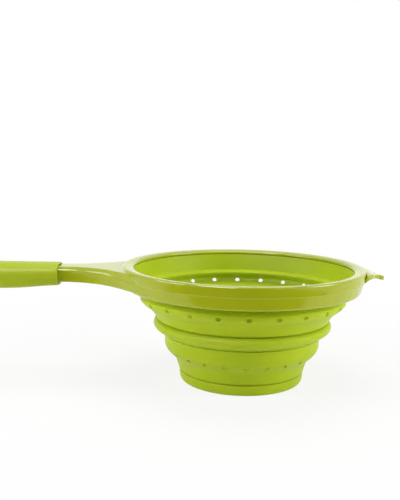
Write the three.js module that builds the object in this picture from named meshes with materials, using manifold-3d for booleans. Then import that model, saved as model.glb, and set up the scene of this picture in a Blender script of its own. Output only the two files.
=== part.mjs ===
// Collapsible colander with one long handle.
// Millimetres, +Z up. The origin is the centre of the base's flat underside,
// the handle runs towards -X and the small rest tab towards +X.
// A rigid ring with its handle core and tab is one moulding. The soft bowl hangs
// from it by a bead that a clamp ring traps, and folds up in three tiers.

import * as THREE from "three";
import { mergeVertices } from "three/addons/utils/BufferGeometryUtils.js";
import Module from "manifold-3d";

const wasm = await Module();
wasm.setup();

// Ring round the mouth
const ringOuterRadius = 102.5;
const ringDepth = 18.6;
const lipWidth = 9.3;
const lipFall = 1.6;
const lipThickness = 2;
const edgeRound = 1.5;
const skirtStepDepth = 7.9;
const skirtStep = 0.5;
const skirtUpperDraft = 0.6;
const skirtLowerDraft = 2.4;
const skirtWall = 2.2;
const skirtTopWall = 3.3;

// Clearance between pieces that are moulded apart, and at the seams of the bowl
const fitGap = 0.3;

// Tiers of the bowl, from the ring down to the table
const hemThickness = 1.2;
const upperFoldDepth = 10.9;
const upperBandDepth = 13.2;
const middleFoldDepth = 13.3;
const lowerBandDepth = 12;
const lowerFoldDepth = 10.5;
const baseDepth = 18.5;

// Walls of the soft bowl
const collarWall = 1.9;
const collarDraft = 1.9;
const beadThickness = 3.2;
const foldWall = 1.2;
const bandWall = 2.2;
const floorThickness = 2.6;

// How far each tier comes in from the one above it
const hemInset = 2.4;
const foldInset = 2;
const upperFoldStep = 10.6;
const upperBandTaper = 11.4;
const bandLip = 1;
const middleFoldBulge = 2.9;
const middleFoldStep = 5.7;
const lowerBandTaper = 2;
const lowerFoldStep = 8.8;
const baseTaper = 2.3;
const baseGroove = 1.5;
const baseFootRound = 2;

// Drain holes
const drainCount = 24;
const wallHoleRadius = 2.1;
const baseHoleRadius = 2.1;
const baseHolePitch = 10.2;
const baseHoleRings = 4;
const firstRingHoles = 6;

// Neck between the ring and the grip
const neckLength = 54;
const neckStraight = 6.5;
const neckHalfWidth = 10.5;
const neckRootHalfWidth = 66;
const neckDrop = 2.5;
const neckDepth = 12.8;
const neckEdgeRound = 2.4;
const coreWall = 2.2;
const ribThickness = 1.4;
const ribPitch = 17;
const ribStartInset = 9;

// Grip sleeve, and how deep in its mouth the tang begins
const gripLength = 106;
const gripHalfWidth = 14.5;
const gripHalfHeight = 10.8;
const gripTopDrop = 0.4;
const gripWall = 1.9;
const gripButt = 16;
const mouthDepth = 3;
const hangHoleRadius = 4.2;

// Rest tab opposite the handle
const tabReach = 18;
const tabRootHalfWidth = 29;
const tabNoseHalfWidth = 4.5;
const tabThickness = 3.3;
const tabRootDrop = 4.2;
const tabTipDrop = 8.8;

// Round parts and curves are divided into this many facets
const turnSegments = 48;
const holeSides = 6;
const hangHoleSides = 16;
const gripSides = 28;
const curveSegments = 8;

// How far a cutting shape runs past what it cuts, and half a turn in degrees
const overrun = 5;
const halfTurn = 180;

// Outlines, as shares of the sizes that they follow.
// Folds: share of the bulge, share of the inward step, share of the depth.
const upperFoldShares = [
  [0, 0, 0],
  [0, 0.32, 0.146],
  [0, 0.63, 0.38],
  [0, 0.7, 0.65],
  [0, 0.79, 0.864],
  [0, 1, 1],
];
const middleFoldShares = [
  [0, 0, 0],
  [0.38, 0, 0.19],
  [1, 0, 0.42],
  [0.8, 0.04, 0.6],
  [0.25, 0.3, 0.82],
  [0, 1, 1],
];
const lowerFoldShares = [
  [0, 0, 0],
  [0, 0.27, 0.3],
  [0, 0.63, 0.61],
  [0, 1, 1],
];
// Bands: share of the taper, share of the depth.
const upperBandShares = [
  [0, 0],
  [0.377, 0.227],
  [0.8, 0.68],
  [1, 1],
];
const lowerBandShares = [
  [0, 0],
  [0.55, 0.2],
  [0.65, 0.71],
  [1, 1],
];
// Grip: share of the length, of the half width, of the half height, and the end rounding.
const gripShares = [
  [0, 0.93, 0.87, 0.94],
  [0.012, 0.93, 0.87, 1],
  [0.33, 1, 1, 1],
  [0.72, 1.03, 0.99, 1],
  [0.88, 1.02, 0.95, 1],
  [0.95, 1, 0.94, 0.92],
  [0.985, 0.99, 0.94, 0.76],
  [1, 0.99, 0.94, 0.56],
];
const gripPowerShare = 3;
const borePowerShare = 4;
// Neck outline: where the two handles of its curve stand.
const neckNearShares = [0.565, 0.045];
const neckFarShares = [0.827, 0.735];
// How far the neck's and the tab's outlines run on inside the ring before its bore trims them.
const neckInsideShare = 0.85;
const tabInsideShare = 0.9;
// Tab from the side: share of the reach, share of the fall from root to tip.
const tabFallShares = [
  [0, 0],
  [0.2, 0],
  [0.32, 0.18],
  [0.52, 0.47],
  [0.64, 0.63],
  [0.8, 0.81],
  [1, 1],
];
// Tab in plan: where its nose starts, the two handles of its hollow flank and of its nose.
const tabNoseShare = 0.75;
const tabFlankNearShares = [0.55, 0.02];
const tabFlankFarShares = [0.69, 0.9];
const tabNoseNearShares = [0.7, 0.05];
const tabNoseFarShares = [1, 0.45];
// Lip: where its slope eases.
const lipEaseShare = 0.15;
const lipEaseFallShare = 0.5;
// The ring's rounded top edge: shares of the rounding, inwards and down.
const lipEdgeShares = [
  [2, 0],
  [0.6, 0.2],
  [0, 1],
];
// Drain rows: share of the fold's depth.
const upperHoleShare = 0.76;
const lowerHoleShare = 0.3;
// Base: share of its depth at the lip, the groove, the belly and the foot.
const baseLipShare = 0.43;
const baseGrooveShare = 0.49;
const baseBellyShare = 0.76;
const baseFootShare = 0.91;

// Levels
const rimTopZ = ringDepth + upperFoldDepth + upperBandDepth + middleFoldDepth
  + lowerBandDepth + lowerFoldDepth + baseDepth + hemThickness + fitGap;
const ringBottomZ = rimTopZ - ringDepth;
const hemTopZ = ringBottomZ - fitGap;
const hemBottomZ = hemTopZ - hemThickness;
const upperBandTopZ = hemBottomZ - upperFoldDepth;
const upperBandBottomZ = upperBandTopZ - upperBandDepth;
const lowerBandTopZ = upperBandBottomZ - middleFoldDepth;
const lowerBandBottomZ = lowerBandTopZ - lowerBandDepth;
const baseTopZ = baseDepth;

// Radii of the ring
const mouthRadius = ringOuterRadius - lipWidth;
const stepRadius = ringOuterRadius - skirtUpperDraft;
const skirtRadius = stepRadius - skirtStep;
const ringBottomRadius = skirtRadius - skirtLowerDraft;
const lipUndersideZ = rimTopZ - lipFall - lipThickness;
const skirtInnerTopRadius = ringOuterRadius - skirtTopWall;
const skirtInnerBottomRadius = ringBottomRadius - skirtWall;

// Radii of the bowl's wall
const collarInnerTopRadius = mouthRadius;
const collarInnerBottomRadius = collarInnerTopRadius - collarDraft;
const hemRadius = ringBottomRadius - hemInset;
const upperFoldRadius = hemRadius - foldInset;
const upperFoldEndRadius = upperFoldRadius - upperFoldStep;
const halfFold = foldWall / 2;
const upperBandTopRadius = upperFoldEndRadius + bandLip;
const upperBandBottomRadius = upperBandTopRadius - upperBandTaper;
const middleFoldRadius = upperBandBottomRadius - bandLip - halfFold;
const middleFoldEndRadius = middleFoldRadius - middleFoldStep;
const lowerBandTopRadius = middleFoldEndRadius + bandLip;
const lowerBandBottomRadius = lowerBandTopRadius - lowerBandTaper;
const lowerFoldRadius = lowerBandBottomRadius - bandLip;
const lowerFoldEndRadius = lowerFoldRadius - lowerFoldStep;
const baseTopRadius = lowerFoldEndRadius + halfFold;
const baseLipRadius = baseTopRadius - baseTaper;
const baseGrooveRadius = baseLipRadius - baseGroove;
const baseBellyRadius = baseGrooveRadius + halfFold;
const baseFootRadius = baseBellyRadius - baseFootRound;

// Places along the handle, measured from the bowl's axis
const gripMouthReach = ringOuterRadius + neckLength;
const tangStartReach = gripMouthReach + mouthDepth;
const neckEndReach = tangStartReach + neckEdgeRound * 2;
const gripEndReach = gripMouthReach + gripLength;
const tangEndReach = gripEndReach - gripButt - fitGap;
const hangHoleReach = gripEndReach - gripButt / 2;
const neckTopZ = rimTopZ - neckDrop;
const neckBottomZ = neckTopZ - neckDepth;
const gripTopZ = rimTopZ - gripTopDrop;
const boreHalfWidth = gripHalfWidth * gripShares[0][1] - gripWall;
const boreHalfHeight = gripHalfHeight * gripShares[0][2] - gripWall;
const neckMiddleZ = (neckTopZ + neckBottomZ) / 2;
const gripMouthMiddleZ = gripTopZ - gripHalfHeight * gripShares[0][2];
const boreMiddleZ = (neckMiddleZ + gripMouthMiddleZ) / 2;
const tangHalfWidth = boreHalfWidth - fitGap;
const tangHalfHeight = boreHalfHeight - fitGap;

// Turns a closed three.js geometry into a solid: vertices are merged by position,
// triangles that have shrunk to a line are dropped, and faces are made to point out.
function solid(geometry) {
  const bare = geometry.clone();
  bare.deleteAttribute("normal");
  bare.deleteAttribute("uv");
  const merged = mergeVertices(bare);
  const places = merged.attributes.position.array;
  const order = merged.index.array;
  const kept = [];
  let sixVolumes = 0;
  const corners = [new THREE.Vector3(), new THREE.Vector3(), new THREE.Vector3()];
  for (let i = 0; i < order.length; i += corners.length) {
    const [a, b, c] = [order[i], order[i + 1], order[i + 2]];
    if (a === b || b === c || c === a) continue;
    kept.push(a, b, c);
    [a, b, c].forEach((v, k) => corners[k].fromArray(places, v * corners.length));
    sixVolumes += corners[0].dot(corners[1].clone().cross(corners[2]));
  }
  if (sixVolumes < 0) kept.reverse();
  return new wasm.Manifold(new wasm.Mesh({
    numProp: 3,
    vertProperties: new Float32Array(places),
    triVerts: new Uint32Array(kept),
  }));
}

// Turns a solid back into a named mesh.
function piece(name, body, material) {
  const mesh = body.getMesh();
  const geometry = new THREE.BufferGeometry();
  geometry.setAttribute("position", new THREE.BufferAttribute(mesh.vertProperties, mesh.numProp));
  geometry.setIndex(new THREE.BufferAttribute(mesh.triVerts, 1));
  geometry.computeVertexNormals();
  const node = new THREE.Mesh(geometry, material);
  node.name = name;
  return node;
}

// Turns a closed outline of [radius, height] points about the Z axis.
function turned(outline) {
  const points = [...outline, outline[0]].map(([radius, height]) => new THREE.Vector2(radius, height));
  return solid(new THREE.LatheGeometry(points, turnSegments).rotateX(Math.PI / 2));
}

// Gives a line of [radius, height] points a wall. The ends are cut level.
function sheetOutline(line, outward, inward) {
  const normals = line.slice(1).map(([radius, height], i) => {
    const along = new THREE.Vector2(radius - line[i][0], height - line[i][1]).normalize();
    return new THREE.Vector2(-along.y, along.x);
  });
  const shifts = line.map((_, i) => {
    if (i === 0) return new THREE.Vector2(1 / normals[0].x, 0);
    if (i === normals.length) return new THREE.Vector2(1 / normals[i - 1].x, 0);
    const middle = normals[i - 1].clone().add(normals[i]).normalize();
    return middle.divideScalar(middle.dot(normals[i]));
  });
  const side = (distance) => line.map(([radius, height], i) => [
    radius + shifts[i].x * distance,
    height + shifts[i].y * distance,
  ]);
  return [...side(outward), ...side(-inward).reverse()];
}

// An upright round cutter or disc standing on a level.
function disc(radius, bottom, top, sides) {
  const geometry = new THREE.CylinderGeometry(radius, radius, top - bottom, sides);
  return solid(geometry.rotateX(Math.PI / 2).translate(0, 0, (top + bottom) / 2));
}

// A flat outline in X and Y, raised from one level to another.
function raised(shape, bottom, top) {
  const settings = { depth: top - bottom, bevelEnabled: false, curveSegments };
  return solid(new THREE.ExtrudeGeometry(shape, settings).translate(0, 0, bottom));
}

// Joins rings of points, one after another, and closes the two ends.
function lofted(rings) {
  const count = rings[0].length;
  const places = rings.flat().flatMap((point) => point.toArray());
  const order = [];
  for (let i = 0; i + 1 < rings.length; i += 1) {
    for (let j = 0; j < count; j += 1) {
      const [a, b] = [i * count + j, i * count + ((j + 1) % count)];
      order.push(a, b, b + count, a, b + count, a + count);
    }
  }
  const last = (rings.length - 1) * count;
  for (let j = 1; j + 1 < count; j += 1) {
    order.push(0, j + 1, j, last, last + j, last + j + 1);
  }
  const geometry = new THREE.BufferGeometry();
  geometry.setAttribute("position", new THREE.Float32BufferAttribute(places, 3));
  geometry.setIndex(order);
  return solid(geometry);
}

// A ring of points across the handle: an ellipse squared off by a power.
function squaredEllipse(reach, centre, halfWidth, halfHeight, power) {
  return Array.from({ length: gripSides }, (_, i) => {
    const angle = (i * 2 * Math.PI) / gripSides;
    const squared = (value) => Math.sign(value) * Math.abs(value) ** (2 / power);
    return new THREE.Vector3(
      -reach,
      halfWidth * squared(Math.cos(angle)),
      centre + halfHeight * squared(Math.sin(angle)),
    );
  });
}

// Outline of the ring: the lip and the skirt that hangs from its outer edge.
function ringOutline() {
  const lipEaseRadius = mouthRadius + lipWidth * lipEaseShare;
  return [
    [mouthRadius, lipUndersideZ],
    [mouthRadius, rimTopZ - lipFall],
    [lipEaseRadius, rimTopZ - lipFall * lipEaseFallShare],
    ...lipEdgeShares.map(([inward, down]) => [
      ringOuterRadius - edgeRound * inward,
      rimTopZ - edgeRound * down,
    ]),
    [stepRadius, rimTopZ - skirtStepDepth],
    [skirtRadius, rimTopZ - skirtStepDepth - skirtStep],
    [ringBottomRadius, ringBottomZ + skirtStep],
    [ringBottomRadius - skirtStep, ringBottomZ],
    [skirtInnerBottomRadius, ringBottomZ],
    [skirtInnerTopRadius, lipUndersideZ],
  ];
}

// Radius of the skirt's inner face at a level.
function skirtInnerRadius(level) {
  const share = (lipUndersideZ - level) / (lipUndersideZ - ringBottomZ);
  return skirtInnerTopRadius + (skirtInnerBottomRadius - skirtInnerTopRadius) * share;
}

// Radius of the collar's inner face at a level.
function collarInnerRadius(level) {
  const share = (lipUndersideZ - level) / (lipUndersideZ - hemTopZ);
  return collarInnerTopRadius + (collarInnerBottomRadius - collarInnerTopRadius) * share;
}

// Plan of the neck, drawn in by an inset on every side.
function neckPlan(inset, endReach) {
  const halfWidth = neckHalfWidth - inset;
  const rootHalfWidth = neckRootHalfWidth - inset;
  const rootReach = Math.sqrt(ringOuterRadius ** 2 - neckRootHalfWidth ** 2);
  const waistReach = gripMouthReach - neckStraight;
  const [alongSpan, acrossSpan] = [waistReach - rootReach, rootHalfWidth - halfWidth];
  const handle = (shares) => [waistReach - alongSpan * shares[0], halfWidth + acrossSpan * shares[1]];
  const [near, far] = [handle(neckNearShares), handle(neckFarShares)];
  const shape = new THREE.Shape();
  shape.moveTo(-endReach, -halfWidth);
  shape.lineTo(-waistReach, -halfWidth);
  shape.bezierCurveTo(-near[0], -near[1], -far[0], -far[1], -rootReach, -rootHalfWidth);
  shape.lineTo(-rootReach * neckInsideShare, -rootHalfWidth * neckInsideShare);
  shape.lineTo(-rootReach * neckInsideShare, rootHalfWidth * neckInsideShare);
  shape.lineTo(-rootReach, rootHalfWidth);
  shape.bezierCurveTo(-far[0], far[1], -near[0], near[1], -waistReach, halfWidth);
  shape.lineTo(-endReach, halfWidth);
  return shape;
}

// The grip's bore, or the tang that fills it, between two places along the handle.
function boreLength(startReach, endReach, halfWidth, halfHeight) {
  return lofted([startReach, endReach].map((reach) => squaredEllipse(
    reach,
    boreMiddleZ,
    halfWidth,
    halfHeight,
    borePowerShare,
  )));
}

// The pockets that lighten the neck and tang from below, with the ribs between them.
function corePockets() {
  const [startReach, endReach] = [tangStartReach + coreWall, tangEndReach - coreWall];
  const neckPocket = raised(neckPlan(coreWall, startReach), neckBottomZ - overrun, neckTopZ - coreWall)
    .subtract(disc(ringOuterRadius, neckBottomZ - overrun, neckTopZ, turnSegments));
  const height = neckTopZ - neckBottomZ + overrun;
  const level = neckTopZ - coreWall - height / 2;
  const tangPocket = solid(new THREE.BoxGeometry(endReach - startReach, (tangHalfWidth - coreWall) * 2, height)
    .translate(-(endReach + startReach) / 2, 0, level));
  const spineLength = tangEndReach - mouthRadius;
  let ribs = solid(new THREE.BoxGeometry(spineLength, ribThickness, height)
    .translate(-mouthRadius - spineLength / 2, 0, level));
  for (let reach = ringOuterRadius + ribStartInset; reach < tangEndReach; reach += ribPitch) {
    const rib = new THREE.BoxGeometry(ribThickness, neckRootHalfWidth * 2, height);
    ribs = ribs.add(solid(rib.translate(-reach, 0, level)));
  }
  return neckPocket.add(tangPocket).subtract(ribs);
}

// Plan of the tab: hollow flanks from the ring to a narrow round nose.
function tabPlan() {
  const rootReach = Math.sqrt(ringOuterRadius ** 2 - tabRootHalfWidth ** 2);
  const tipReach = ringOuterRadius + tabReach;
  const noseReach = ringOuterRadius + tabReach * tabNoseShare;
  const between = (start, end, shares) => [
    start[0] + (end[0] - start[0]) * shares[0],
    start[1] + (end[1] - start[1]) * shares[1],
  ];
  const [root, nose, tip] = [[rootReach, tabRootHalfWidth], [noseReach, tabNoseHalfWidth], [tipReach, 0]];
  const [near, far] = [between(root, nose, tabFlankNearShares), between(root, nose, tabFlankFarShares)];
  const [turn, front] = [between(nose, tip, tabNoseNearShares), between(nose, tip, tabNoseFarShares)];
  const shape = new THREE.Shape();
  shape.moveTo(rootReach * tabInsideShare, -tabRootHalfWidth * tabInsideShare);
  shape.lineTo(root[0], -root[1]);
  shape.bezierCurveTo(near[0], -near[1], far[0], -far[1], nose[0], -nose[1]);
  shape.bezierCurveTo(turn[0], -turn[1], front[0], -front[1], tipReach, 0);
  shape.bezierCurveTo(...front, ...turn, ...nose);
  shape.bezierCurveTo(...far, ...near, ...root);
  shape.lineTo(rootReach * tabInsideShare, tabRootHalfWidth * tabInsideShare);
  return shape;
}

// The small tab that rests on a pan's edge: a bent ribbon trimmed to its plan.
function restTab() {
  const top = [
    [mouthRadius, -tabRootDrop],
    ...tabFallShares.map(([out, down]) => [
      ringOuterRadius + tabReach * out,
      -tabRootDrop - (tabTipDrop - tabRootDrop) * down,
    ]),
  ];
  const half = tabThickness / 2;
  const ribbon = new THREE.Shape();
  const outline = [
    ...top.map(([x, z]) => [x, z + half]),
    ...top.map(([x, z]) => [x, z - half]).reverse(),
  ];
  outline.forEach(([x, z], i) => (i ? ribbon.lineTo(x, z) : ribbon.moveTo(x, z)));
  const strip = new THREE.ExtrudeGeometry(ribbon, { depth: tabRootHalfWidth * 2, bevelEnabled: false });
  strip.translate(0, 0, -tabRootHalfWidth).rotateX(Math.PI / 2).translate(0, 0, rimTopZ);
  return solid(strip).intersect(raised(tabPlan(), ringBottomZ, rimTopZ));
}

// Ring, neck, tang and tab are one moulding.
function rimFrame() {
  const depth = neckDepth - neckEdgeRound * 2;
  const neck = new THREE.ExtrudeGeometry(neckPlan(0, neckEndReach), {
    depth,
    bevelSize: neckEdgeRound,
    bevelThickness: neckEdgeRound,
    bevelOffset: -neckEdgeRound,
    bevelSegments: 2,
    curveSegments,
  }).translate(0, 0, neckBottomZ + neckEdgeRound);
  const inside = disc(skirtInnerTopRadius, ringBottomZ - overrun, rimTopZ + overrun, turnSegments);
  const arms = solid(neck)
    .add(boreLength(tangStartReach, tangEndReach, tangHalfWidth, tangHalfHeight))
    .add(restTab())
    .subtract(inside);
  return arms.subtract(corePockets()).add(turned(ringOutline()));
}

// Lower ring that traps the bowl's bead inside the skirt.
function clampRing() {
  const top = lipUndersideZ - fitGap - beadThickness - fitGap;
  const outer = (level) => skirtInnerRadius(level) - fitGap;
  const inner = (level) => collarInnerRadius(level) + collarWall + fitGap;
  return turned([
    [inner(top), top],
    [outer(top) - skirtStep, top],
    [outer(top - skirtStep), top - skirtStep],
    [outer(ringBottomZ), ringBottomZ],
    [inner(ringBottomZ), ringBottomZ],
  ]);
}

// Top of the bowl: the trapped bead, the wall inside the ring and the hem under it.
function bowlCollar() {
  const top = lipUndersideZ - fitGap;
  const beadBottom = top - beadThickness;
  const beadRadius = skirtInnerRadius(beadBottom) - fitGap;
  return turned([
    [collarInnerRadius(top), top],
    [beadRadius - skirtStep, top],
    [beadRadius, top - skirtStep],
    [beadRadius, beadBottom],
    [collarInnerRadius(beadBottom) + collarWall, beadBottom],
    [collarInnerRadius(hemTopZ) + collarWall, hemTopZ],
    [hemRadius, hemTopZ],
    [hemRadius, hemBottomZ + halfFold],
    [hemRadius - halfFold, hemBottomZ],
    [collarInnerRadius(hemTopZ), hemBottomZ],
  ]);
}

// A thin fold between two tiers, set off from each by the seam's clearance.
function foldOutline(shares, radius, step, bulge, top, bottom) {
  const [start, end] = [top - fitGap, bottom + fitGap];
  const line = shares.map(([out, inward, down]) => [
    radius + bulge * out - step * inward,
    start - (start - end) * down,
  ]);
  return sheetOutline(line, halfFold, halfFold);
}

// A thick band between two folds.
function bandOutline(shares, radius, taper, top, depth) {
  const line = shares.map(([inward, down]) => [radius - taper * inward, top - depth * down]);
  return sheetOutline(line, 0, bandWall);
}

// A row of round drain holes, cut square to the sloping wall.
function drainRow(radius, level, tilt) {
  const length = (bandWall + overrun) * 2;
  const direction = new THREE.Vector3(0, 0, 0);
  let row = null;
  for (let i = 0; i < drainCount; i += 1) {
    const angle = (i * 2 * Math.PI) / drainCount;
    direction.set(Math.cos(angle) * Math.cos(tilt), Math.sin(angle) * Math.cos(tilt), Math.sin(tilt));
    const turn = new THREE.Quaternion().setFromUnitVectors(new THREE.Vector3(0, 1, 0), direction);
    const cutter = new THREE.CylinderGeometry(wallHoleRadius, wallHoleRadius, length, holeSides)
      .applyQuaternion(turn)
      .translate(Math.cos(angle) * radius, Math.sin(angle) * radius, level);
    row = row ? row.add(solid(cutter)) : solid(cutter);
  }
  return row;
}

// Where a hole sits on a fold's line, and how far the wall leans there.
function foldPlace(shares, radius, step, top, bottom, share) {
  const i = shares.findIndex((row) => row[2] >= share);
  const [before, after] = [shares[i - 1], shares[i]];
  const part = (share - before[2]) / (after[2] - before[2]);
  const inward = before[1] + (after[1] - before[1]) * part;
  const fall = (after[2] - before[2]) * (top - bottom);
  const lean = -Math.atan2((after[1] - before[1]) * step, fall);
  return { radius: radius - step * inward, level: top - (top - bottom) * share, lean };
}

// A fold that carries a row of drain holes.
function drainedFold(shares, radius, step, top, bottom, share) {
  const wall = turned(foldOutline(shares, radius, step, 0, top, bottom));
  const hole = foldPlace(shares, radius, step, top, bottom, share);
  return wall.subtract(drainRow(hole.radius, hole.level, hole.lean));
}

// Base cup: the lowest wall with its lip and groove, and the drained floor.
function baseCup() {
  const at = (share) => baseTopZ - baseDepth * share;
  const cup = turned([
    [0, floorThickness],
    [baseFootRadius - bandWall / 2, floorThickness],
    [baseBellyRadius - bandWall, floorThickness + bandWall / 2],
    [baseTopRadius - bandWall, baseTopZ],
    [baseTopRadius, baseTopZ],
    [baseLipRadius, at(baseLipShare)],
    [baseLipRadius, at(baseLipShare) - halfFold],
    [baseGrooveRadius, at(baseGrooveShare)],
    [baseBellyRadius, at(baseBellyShare)],
    [baseBellyRadius - halfFold, at(baseFootShare)],
    [baseFootRadius, 0],
    [0, 0],
  ]);
  let holes = null;
  for (let ring = 1; ring <= baseHoleRings; ring += 1) {
    const count = firstRingHoles * ring;
    for (let i = 0; i < count; i += 1) {
      const angle = ((i + 1 / 2) * 2 * Math.PI) / count;
      const reach = baseHolePitch * ring;
      const cutter = disc(baseHoleRadius, -overrun, floorThickness + overrun, holeSides)
        .translate([Math.cos(angle) * reach, Math.sin(angle) * reach, 0]);
      holes = holes ? holes.add(cutter) : cutter;
    }
  }
  return cup.subtract(holes);
}

// Soft sleeve pushed over the tang, open at the neck, closed and pierced at its butt.
function gripSleeve() {
  const skin = lofted(gripShares.map(([along, wide, high, round]) => squaredEllipse(
    gripMouthReach + gripLength * along,
    gripTopZ - gripHalfHeight * high,
    gripHalfWidth * wide * round,
    gripHalfHeight * high * round,
    gripPowerShare,
  )));
  const bore = boreLength(gripMouthReach - overrun, tangEndReach + fitGap, boreHalfWidth, boreHalfHeight);
  const hangHole = disc(hangHoleRadius, ringBottomZ - neckDepth, rimTopZ + overrun, hangHoleSides)
    .rotate([0, 0, halfTurn / hangHoleSides])
    .translate([-hangHoleReach, 0, 0]);
  return skin.subtract(bore).subtract(hangHole);
}

const glossyPlastic = new THREE.MeshStandardMaterial({ color: 0x9fa82a, roughness: 0.18, metalness: 0 });
const clampPlastic = new THREE.MeshStandardMaterial({ color: 0x98a228, roughness: 0.25, metalness: 0 });
const silicone = new THREE.MeshStandardMaterial({ color: 0xa9bb28, roughness: 0.55, metalness: 0 });
const gripRubber = new THREE.MeshStandardMaterial({ color: 0xb0bd2c, roughness: 0.42, metalness: 0 });

const upperFold = drainedFold(
  upperFoldShares, upperFoldRadius, upperFoldStep, hemBottomZ, upperBandTopZ, upperHoleShare,
);
const lowerFold = drainedFold(
  lowerFoldShares, lowerFoldRadius, lowerFoldStep, lowerBandBottomZ, baseTopZ, lowerHoleShare,
);
const middleFold = turned(foldOutline(
  middleFoldShares, middleFoldRadius, middleFoldStep, middleFoldBulge, upperBandBottomZ, lowerBandTopZ,
));
const upperBand = turned(bandOutline(
  upperBandShares, upperBandTopRadius, upperBandTaper, upperBandTopZ, upperBandDepth,
));
const lowerBand = turned(bandOutline(
  lowerBandShares, lowerBandTopRadius, lowerBandTaper, lowerBandTopZ, lowerBandDepth,
));

const colander = new THREE.Group();
colander.name = "collapsible_colander";
colander.add(
  piece("rim_frame", rimFrame(), glossyPlastic),
  piece("clamp_ring", clampRing(), clampPlastic),
  piece("bowl_collar", bowlCollar(), silicone),
  piece("upper_fold", upperFold, silicone),
  piece("upper_band", upperBand, silicone),
  piece("middle_fold", middleFold, silicone),
  piece("lower_band", lowerBand, silicone),
  piece("lower_fold", lowerFold, silicone),
  piece("base_cup", baseCup(), silicone),
  piece("grip_sleeve", gripSleeve(), gripRubber),
);

export default colander;
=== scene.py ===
"""Collapsible colander with one long handle: the shapes and finishes of its pieces.

The file is laid out as a Blender add-on and is run as a script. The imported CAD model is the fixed
frame, in metres: origin under the middle of the base, +Z up, the handle towards -X. Each piece made
here stands for the CAD node that it is named after. Tables of sizes are in millimetres.
"""

import math

import bmesh
import bpy
import numpy as np
from bpy.props import FloatProperty, FloatVectorProperty, IntProperty, PointerProperty
from mathutils import Matrix, Vector


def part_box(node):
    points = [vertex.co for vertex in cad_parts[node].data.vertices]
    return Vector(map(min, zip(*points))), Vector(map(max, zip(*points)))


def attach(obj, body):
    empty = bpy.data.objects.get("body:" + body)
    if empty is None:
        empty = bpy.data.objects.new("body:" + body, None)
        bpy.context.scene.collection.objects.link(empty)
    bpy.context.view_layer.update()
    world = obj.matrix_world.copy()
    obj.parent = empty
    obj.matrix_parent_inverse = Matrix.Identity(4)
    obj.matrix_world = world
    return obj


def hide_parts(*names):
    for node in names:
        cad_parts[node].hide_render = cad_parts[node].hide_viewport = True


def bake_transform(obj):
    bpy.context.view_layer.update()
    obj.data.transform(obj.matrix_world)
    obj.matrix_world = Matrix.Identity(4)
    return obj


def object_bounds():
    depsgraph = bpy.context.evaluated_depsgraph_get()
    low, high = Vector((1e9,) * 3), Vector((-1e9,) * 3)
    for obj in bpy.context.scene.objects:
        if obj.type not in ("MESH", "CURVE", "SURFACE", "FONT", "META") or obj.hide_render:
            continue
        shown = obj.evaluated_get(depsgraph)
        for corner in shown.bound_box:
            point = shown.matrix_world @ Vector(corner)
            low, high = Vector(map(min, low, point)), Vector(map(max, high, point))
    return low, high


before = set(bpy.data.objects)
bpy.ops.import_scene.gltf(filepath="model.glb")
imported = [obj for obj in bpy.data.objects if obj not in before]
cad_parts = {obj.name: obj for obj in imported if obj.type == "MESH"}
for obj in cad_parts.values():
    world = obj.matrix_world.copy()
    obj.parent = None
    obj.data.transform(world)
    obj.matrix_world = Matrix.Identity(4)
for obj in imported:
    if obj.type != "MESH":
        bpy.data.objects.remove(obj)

bl_info = {
    "name": "Collapsible colander",
    "version": (1, 0, 0),
    "blender": (4, 5, 0),
    "location": "3D View > Sidebar > Colander",
    "description": "Makes a folding silicone colander, its finishes and a studio",
    "category": "Add Mesh",
}

CAD_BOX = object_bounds()
MM = 0.001
# Steps round the ring and the bowl. The number of holes in each row divides it.
TURN_STEPS = 288
# Edges sharper than this are shaded as edges.
SHARP = math.radians(38)
# Points nearer than this are one point.
MERGE = 2e-6


def low(node):
    """Lowest corner of a CAD node's box."""
    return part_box(node)[0]


def high(node):
    """Highest corner of a CAD node's box."""
    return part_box(node)[1]


def seam(upper, lower):
    """Level half-way across the clearance that the CAD leaves between two pieces of the bowl."""
    return (low(upper).z + high(lower).z) / 2


RIM_TOP = high("rim_frame").z
RIM_BOTTOM = low("rim_frame").z
RING_RADIUS = high("rim_frame").y
TAB_END = high("rim_frame").x
GRIP_MOUTH = -high("grip_sleeve").x
GRIP_END = -low("grip_sleeve").x
GRIP_TOP = high("grip_sleeve").z
TANG_END = -low("rim_frame").x

# The CAD nodes of the bowl, from the ring down.
BOWL_NODES = (
    "bowl_collar", "upper_fold", "upper_band", "middle_fold", "lower_band", "lower_fold",
    "base_cup",
)
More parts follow.
